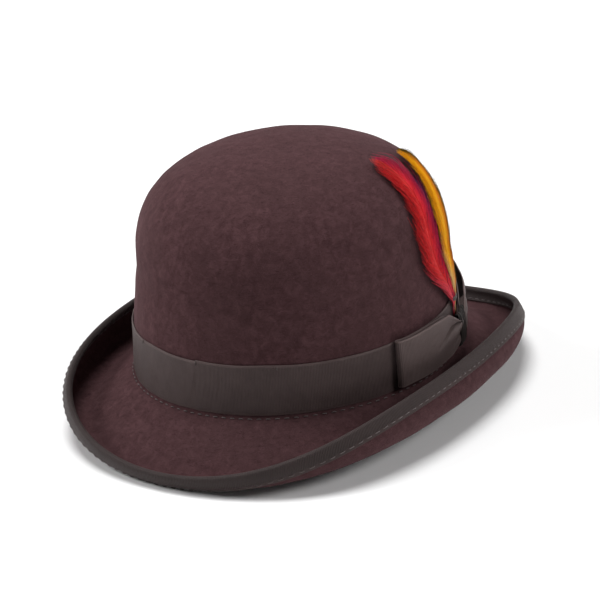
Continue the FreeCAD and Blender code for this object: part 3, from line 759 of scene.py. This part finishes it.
def lining():
    """Pleated side lining, domed tip lining and the piping over their seam."""
    satin, tip_depth = 0.45, FELT + 2.3
    count = 420
    t = circle(count)
    rise = np.arange(10.0, 55.0, 4.0)
    depth = np.interp(rise, [0, 34, 54], [-2.65, -2.65, -3.8])
    share = np.linspace(0.05, 0.46, 12)
    dome_depth = -FELT - 1.6 - 1.2 * share
    pleat = 0.45 * np.abs(np.sin(t * 42))
    gather = smooth_step(36, 60, np.concatenate([rise, 0 * share + 60]))[:, None] * pleat
    levels = np.concatenate([level(t, foot(t) + rise[:, None]), share[:, None] + 0 * t])
    depths = np.concatenate([depth, dome_depth])[:, None] - gather
    outer = on_crown(t, levels, depths)
    inner = on_crown(t, levels, depths - satin)
    rows = np.concatenate([outer, inner[::-1]])

    def uv(r, c):
        return np.stack([c / count * 540.0, r * 4.0], -1)

    side = loft("lining_side_satin", rows, uv, "lining_side", SATIN_LOOK)

    v = np.linspace(1, 0.495, 26)[:, None]
    skin = crown_skin(t, v)
    soft = 0.25 * ripple(skin[..., 0], skin[..., 1], 41) - tip_depth
    soft[0] = -tip_depth
    outer, inner = on_crown(t, v, soft), on_crown(t, v[::-1], soft[::-1] - satin)
    outer[0] = [SHIFT_X, 0, HEIGHT - tip_depth]
    inner[-1] = [SHIFT_X, 0, HEIGHT - tip_depth - satin]
    rows = np.concatenate([outer, inner])

    def uv_tip(r, c):
        return rows[r % len(rows), c % count][:, :2]

    tip = loft("lining_tip_satin", rows, uv_tip, "lining_tip", SATIN_LOOK,
               ring=False, caps=False)

    centre = on_crown(t, 0.48, -FELT - 3.8)
    verts, faces, uvs = closed_tube(centre, 0.75, 8)
    make("lining_seam_piping", verts, faces, uvs, "lining_piping", PIPING_LOOK)


def closed_tube(centre, radius, sides):
    """Cord that closes on itself."""
    along = unit(np.roll(centre, -1, 0) - np.roll(centre, 1, 0))
    side = unit(np.cross(along, [0, 0, 1.0]))
    lift = np.cross(side, along)
    turn = circle(sides)
    spoke = side[:, None] * np.cos(turn)[:, None] + lift[:, None] * np.sin(turn)[:, None]
    rows = centre[:, None] + radius * spoke
    faces, places = grid(len(centre), sides, True, True)
    return rows.reshape(-1, 3), faces, np.stack([places[:, 0] * 1.3, places[:, 1] / sides], -1)


def inside_strip(name, node, degrees, low, high, depth, thick, look):
    """Short strip inside the crown, between two angles and two heights."""
    count = 25
    t = np.radians(np.linspace(*degrees, count))
    loop = strip_loop(low, high, depth, depth - thick, 10)
    rows = on_wall(t, loop[:, :1] + 0 * t, loop[:, 1:]).transpose(1, 0, 2)

    def uv(r, c):
        return np.stack([r / count * 20.0, loop[c % len(loop), 0] - low], -1)

    loft(name, rows, uv, node, look, ring=False)


def inside_trim():
    """Reed, blank label, and the small bow at the back of the leather."""
    t = circle(260)
    centre = on_wall(t, 0.4, -FELT - CLEAR - LEATHER - CLEAR - REED)
    verts, faces, uvs = closed_tube(centre, REED, 10)
    make("sweatband_reed_cord", verts, faces, uvs, "sweatband_reed",
         quill_material("reed", (0.05, 0.03, 0.02), (0.06, 0.035, 0.025)))
    label = thread_material("label_cloth", (0.55, 0.52, 0.45), (0.72, 0.69, 0.61))
    inside_strip("blank_size_label", "size_label", (150, 163), 14, 26,
                 SWEAT_FACE - 0.3, 0.3, label)
    verts_all, faces_all, uvs_all, base = [], [], [], 0
    steps = 20
    for side in (-1, 1):
        share = np.linspace(0, 1, steps)
        half = np.interp(share, [0, 0.25, 0.6, 1], [2.0, 3.2, 4.2, 4.4])
        thick = np.interp(share, [0, 0.3, 0.6, 1], [1.2, 2.2, 2.4, 1.3])
        loop = strip_loop(-1, 1, -1, 0, 10)
        h = np.clip(loop[:, :1], -1, 1)
        dip = 0.35 * np.cos(h * 4) * (1 - share)
        rows = on_wall(np.pi + side * np.radians(0.9 + 7.5 * share), 22 + h * half,
                       SWEAT_FACE - 0.15 - (loop[:, 1:] + 1) * (thick + dip)).transpose(1, 0, 2)
        quads, places = grid(steps, len(loop), False, True)
        uvs_all.append(np.stack([places[:, 0] * 0.6, (h[places[:, 1] % len(loop), 0] + 1) * 4], -1))
        faces_all += list(quads + base)
        first_end = np.arange(len(loop))
        for end in (first_end, first_end[::-1] + (steps - 1) * len(loop)):
            faces_all.append(end + base)
            uvs_all.append(np.zeros((len(loop), 2)) + [1.0, 4.0])
        verts_all.append(rows.reshape(-1, 3))
        base += rows.shape[0] * rows.shape[1]
    make("rear_bow_pair", np.concatenate(verts_all), faces_all, np.concatenate(uvs_all),
         "rear_bow_loops", INNER_BOW_LOOK)
    inside_strip("rear_bow_wrap", "rear_bow_knot", (179.2, 180.8), 19.2, 24.8,
                 SWEAT_FACE - 0.15, 2.3, INNER_BOW_LOOK)


# ---- feathers ---------------------------------------------
# Quill stops: height above the break, angle t in degrees, distance out from the crown.
RED = [(10, 108.9, 1.82), (24, 108.9, 2.02), (29, 108.6, 2.6), (40, 105.4, 2.8), (52, 100.2, 2.6),
       (66, 96.4, 2.6), (80, 94.8, 2.6), (92, 96.6, 2.6), (102, 98.6, 2.6), (106, 99.6, 2.8),
       (110.5, 100.8, 3.2)]
DARK = [(10, 110.0, 1.82), (24, 110.0, 2.02), (29, 109.9, 2.5), (40, 108.2, 2.0), (52, 105.4, 1.6),
        (66, 103.0, 1.5), (80, 102.2, 1.5), (92, 104.4, 1.5), (101, 107.5, 1.7)]
YELLOW = [(10, 111.1, 1.82), (24, 111.1, 2.02), (29, 111.3, 2.7), (40, 111.4, 3.2), (52, 110.6, 3.3),
          (66, 109.6, 3.3), (82, 109.4, 3.3), (92, 112.2, 3.3), (100, 117.0, 3.3), (104, 120.8, 3.3),
          (106.5, 124.0, 3.4)]


class Feather:
    """A quill line over the crown, and points beside it."""

    def __init__(self, stops):
        z = np.array([s[0] for s in stops], float)
        fine = np.linspace(z[0], z[-1], 400)
        line = np.array([np.interp(fine, z, [s[k] for s in stops]) for k in (1, 2)])
        window = np.hanning(41)[1:-1]
        window = window / window.sum()
        padded = np.pad(line, ((0, 0), (len(window) // 2,) * 2), mode="edge")
        soft = np.array([np.convolve(row, window, "valid") for row in padded])
        above_pocket = smooth_step(24, 30, fine)
        line = line * (1 - above_pocket) + soft * above_pocket
        self.t, self.out = np.radians(line[0]), line[1]
        self.z = fine
        path = on_crown(self.t, level(self.t, fine), self.out)
        step = np.linalg.norm(np.diff(path, axis=0), axis=1)
        self.run = np.concatenate([[0], np.cumsum(step)])
        self.length = self.run[-1]
        self.radius = np.hypot(path[:, 0], path[:, 1])

    def at(self, run, across=0.0, lift=0.0):
        """Point a length up the quill, a distance to its left and a distance off it."""
        run = np.asarray(run, float)
        beyond = np.maximum(run - self.length, 0)
        t, z = np.interp(run, self.run, self.t), np.interp(run, self.run, self.z)
        out, radius = np.interp(run, self.run, self.out), np.interp(run, self.run, self.radius)
        z = z + beyond * 0.35
        radius = np.maximum(radius, 25)
        v = np.minimum(level(t, np.minimum(z, HEIGHT - 1.0)), 0.985)
        return on_crown(t + across / radius, v, out + lift)

    def up(self, run):
        t, z = np.interp(run, self.run, self.t), np.interp(run, self.run, self.z)
        return crown_normal(t, level(t, z))


BARB_GAP = 0.28                     # along the quill
BARB_POINTS, BARB_SIDES = 9, 4


def plume(name, stops, nodes, quill_look, look, half, start, seed, angle, loose, tilt=0.0,
          tip=6.0, taper=15.0):
    """One feather: a tapering quill and a web of separate barbs on each side. half is the web's half
    width, start the bare share of the quill, angle the barbs' slant, loose their disorder."""
    draw = np.random.default_rng(seed)
    f = Feather(stops)
    run = np.linspace(0, f.length, 90)
    radius = 0.6 * (1 - 0.8 * run / f.length)
    verts, faces, uvs = tubes(f.at(run), radius[None], 8, up=f.up(run)[None])
    make(name + "_shaft", verts, faces, uvs, nodes[0], quill_look, "feathers")

    first = start * f.length
    per_side = int((f.length - first) / BARB_GAP)
    paths, widths, origin, flank = [], [], [], []
    for side in (-1, 1):
        root = np.linspace(first, f.length - 0.8, per_side) + draw.normal(0, 0.1, per_side)
        share = (root - first) / (f.length - first)
        reach = half * np.interp(share, [0, 0.05, 0.12, 0.3, 0.5, 0.8, 0.93, 1],
                                 [0.45, 0.8, 1.08, 1.08, 0.92, 0.9, 0.78, 0.4])
        clump = np.sin(root * 0.9 + seed) * 0.5 + np.sin(root * 2.3 + 1.7 * side) * 0.5
        spread = np.radians(angle + 5 * clump + draw.normal(0, 2.2 * loose, per_side) - 9 * share)
        reach = reach * (1 + 0.12 * clump + draw.normal(0, 0.08 * loose, per_side))
        stray = (draw.random(per_side) < 0.05 * loose) * draw.uniform(0.1, 0.45, per_side)
        reach = reach * (1 + stray)
        straight = smooth_step(0.72, 0.95, share)
        reach = reach * (1 - straight * draw.uniform(0, 1, per_side))
        size = reach / np.sin(spread)
        k = np.linspace(0, 1, BARB_POINTS)
        bend = 1 - 0.3 * k
        across = side * size[:, None] * np.sin(spread)[:, None] * k * bend / 0.7
        end = f.length + tip + draw.uniform(-6.0, 0.5, per_side)
        ahead = np.minimum(size * np.cos(spread) * 1.12, end - root)
        ahead = ahead + straight * (end - root - ahead) * 0.9
        along = root[:, None] + ahead[:, None] * k
        across = across * np.clip((f.length + tip + 1 - along) / taper, 0.02, 1) ** 0.6
        curl = (draw.normal(0, 0.35 * loose, per_side) + 3.0 * stray)[:, None] + 0.2
        top = 0.5 * (1 - 0.8 * share)[:, None]
        sway = np.sin(root * 1.1 + seed)[:, None]
        lift = top * (1 - k) ** 2 + curl * k ** 2 + 0.45 * np.sin(np.pi * k) + 0.3 * sway * k
        across = across + 0.3 * loose * np.sin(k * 6 + draw.uniform(0, 6, per_side)[:, None]) * k
        paths.append(f.at(along, across, lift + tilt * np.maximum(across, 0)))
        widths.append(np.broadcast_to(0.21 * (1 - 0.72 * k ** 1.5), across.shape))
        origin.append(root - first)
        flank.append(np.full(per_side, max(side, 0)))
    paths, widths = np.concatenate(paths), np.concatenate(widths)
    origin, flank = np.concatenate(origin), np.concatenate(flank)
    root = origin + first
    normals = crown_normal(np.interp(root, f.run, f.t), level(0.0, np.interp(root, f.run, f.z)))
    verts, faces, uvs = tubes(paths, widths, BARB_SIDES, 0.45, normals[:, None])
    per_barb = (BARB_POINTS - 1) * BARB_SIDES * 4 + 2 * BARB_SIDES      # face corners
    barb = np.repeat(np.arange(len(origin)), per_barb)
    size = np.linalg.norm(np.diff(paths, axis=1), axis=-1).sum(1)
    uvs = np.stack([origin[barb] / (f.length - first) * 100 + FAR_SIDE * flank[barb],
                    uvs[:, 0] / size[barb]], -1)
    make(name + "_barbs", verts, faces, uvs, nodes[1], look, "feathers")


def whipping():
    """Thread wound round the three quills just above the pocket."""
    a = circle(40)
    parts = []
    for height in (28.9, 29.5, 30.1, 30.7):
        t = BOW_ANGLE + 3.9 * np.cos(a) / HALF_WIDTH
        centre = on_crown(t, level(t, height + 0.1 * np.sin(a)), 2.5 + 1.5 * np.sin(a))
        parts.append(closed_tube(centre, 0.27, 7))
    verts = np.concatenate([p[0] for p in parts])
    faces = np.concatenate([p[1] + i * len(parts[0][0]) for i, p in enumerate(parts)])
    uvs = np.concatenate([p[2] for p in parts])
    make("quill_whipping", verts, faces, uvs, "feather_whipping", TACK_LOOK, "feathers")


def feathers():
    """Three plumes and the thread that holds their quills."""
    # Each plume's last two colours are its far side and that side's outer edge: partly the plume's
    # own tint, partly painted shade.
    red = barb_material("red_feather", (0.8, 0.07, 0.11), (0.76, 0.025, 0.028),
                        (0.88, 0.068, 0.062), (0.16, 0.005, 0.01), (0.75, 0.024, 0.05),
                        (0.55, 0.02, 0.085))
    dark = barb_material("dark_feather", (0.1, 0.02, 0.07), (0.045, 0.012, 0.045),
                         (0.16, 0.06, 0.15), (0.01, 0.004, 0.01), (0.06, 0.016, 0.06),
                         (0.03, 0.008, 0.02))
    yellow = barb_material("yellow_feather", (0.78, 0.52, 0.22), (0.95, 0.46, 0.004),
                           (0.95, 0.5, 0.01), (0.6, 0.17, 0.003), (0.74, 0.21, 0.006),
                           (0.1, 0.085, 0.01))
    red_horn = quill_material("red_horn", (0.45, 0.06, 0.06), (0.62, 0.02, 0.02))
    dark_horn = quill_material("dark_horn", (0.12, 0.06, 0.07), (0.03, 0.012, 0.03))
    gold_horn = quill_material("gold_horn", (0.5, 0.26, 0.08), (0.85, 0.36, 0.01))
    plume("red_plume", RED, ("red_quill", "red_vane"), red_horn, red,
          9.0, 0.12, 3, 28.0, 1.5, tip=10.0, taper=13.0)
    plume("dark_plume", DARK, ("dark_quill", "dark_vane"), dark_horn, dark,
          5.0, 0.16, 5, 24.0, 1.6)
    plume("gold_plume", YELLOW, ("yellow_quill", "yellow_vane"), gold_horn, yellow,
          8.8, 0.16, 8, 22.0, 0.9, 0.02, tip=9.0, taper=14.0)
    whipping()


# ---- studio -----------------------------------------------
HORIZON, ZENITH, HAZE_TOP = 1.0, 0.05, 0.28     # sky strengths, and the height of the pale haze
FLOOR_HALF = 18.0
SUNS = (("left_sun", (-1.1, -0.45, 0.8), 1.9, 25.0),
        ("right_sun", (1.1, 0.45, 0.8), 1.5, 25.0),
        ("top_sun", (-0.25, 0.2, 1.25), 2.7, 30.0))


def studio():
    """Pale floor, hazy sky and three soft suns."""
    s = Shade("studio_floor")
    floor_mesh = bpy.data.meshes.new("floor")
    corners = [(x * FLOOR_HALF, y * FLOOR_HALF, 0) for x, y in ((-1, -1), (1, -1), (1, 1), (-1, 1))]
    floor_mesh.from_pydata(corners, [], [(0, 1, 2, 3)])
    paper = s.ramp(s.noise(3, 2), [(0.3, 0.84), (0.7, 0.87)])
    floor_mesh.materials.append(s.finish(paper, Roughness=0.9, Specular_IOR_Level=0.1))
    floor = bpy.data.objects.new("floor", floor_mesh)
    bpy.context.scene.collection.objects.link(floor)

    world = bpy.data.worlds.new("studio")
    world.use_nodes = True
    tree = world.node_tree
    height = tree.nodes.new("ShaderNodeSeparateXYZ")
    sky = tree.nodes.new("ShaderNodeMapRange")
    tree.links.new(tree.nodes.new("ShaderNodeTexCoord").outputs["Generated"], height.inputs[0])
    tree.links.new(height.outputs[2], sky.inputs[0])
    for number, value in enumerate((0.0, HAZE_TOP, HORIZON, ZENITH), 1):
        sky.inputs[number].default_value = value
    tree.nodes["Background"].inputs[0].default_value = (1, 1, 1, 1)
    tree.links.new(sky.outputs[0], tree.nodes["Background"].inputs[1])
    bpy.context.scene.world = world

    for name, place, strength, spread in SUNS:
        light = bpy.data.lights.new(name, "SUN")
        light.energy, light.angle = strength, np.radians(spread)
        lamp = bpy.data.objects.new(name, light)
        lamp.location = place
        lamp.rotation_euler = (-Vector(place)).to_track_quat("-Z", "Y").to_euler()
        bpy.context.scene.collection.objects.link(lamp)

    view = bpy.context.scene.view_settings
    view.view_transform = "Standard"
    view.look = "None"
    view.exposure = 0.0


def camera():
    """The photograph's eye: 33 degrees towards the wearer's left, 22 degrees up, a little tipped."""
    azimuth, elevation, roll = np.radians([33.0, 21.96, -3.84])
    distance, pixels_per_mm, frame_px = 1400.0, 1.765, 600.0
    aim_px = (291.6, 263.7)
    right = np.array([np.cos(azimuth), np.sin(azimuth), 0])
    level_back = np.array([np.sin(azimuth), -np.cos(azimuth), 0])
    back = level_back * np.cos(elevation) + np.array([0, 0, np.sin(elevation)])
    up = np.cross(back, right)
    side = right * np.cos(roll) + up * np.sin(roll)
    head = -right * np.sin(roll) + up * np.cos(roll)
    target = np.array([0, 0, BREAK_Z + 50.0])
    eye = target + back * distance
    off_side, off_up = ((frame_px / 2 - px) / pixels_per_mm for px in aim_px)
    aim = target + side * off_side - head * off_up
    z_axis = unit(eye - aim)
    x_axis = unit(side - z_axis * side.dot(z_axis))
    y_axis = np.cross(z_axis, x_axis)
    data = bpy.data.cameras.new("camera")
    data.sensor_width = 36.0
    data.lens = pixels_per_mm * distance / frame_px * 36.0
    data.clip_start, data.clip_end = 0.05, 20.0
    eye_object = bpy.data.objects.new("camera", data)
    matrix = Matrix([[*row] for row in np.stack([x_axis, y_axis, z_axis], -1)]).to_4x4()
    matrix.translation = Vector((eye * 0.001).tolist())
    eye_object.matrix_world = matrix
    bpy.context.scene.collection.objects.link(eye_object)
    bpy.context.scene.camera = eye_object


felt_hood()
brim_ribbon()
binding_stitches()
band()
band_tacks()
bow_loop("bow_loop_front", "bow_front_loop", -1)
bow_loop("bow_loop_rear", "bow_rear_loop", 1)
bow_knot()
sweat_leather()
outer_seam()
lining()
inside_trim()
feathers()
studio()
camera()
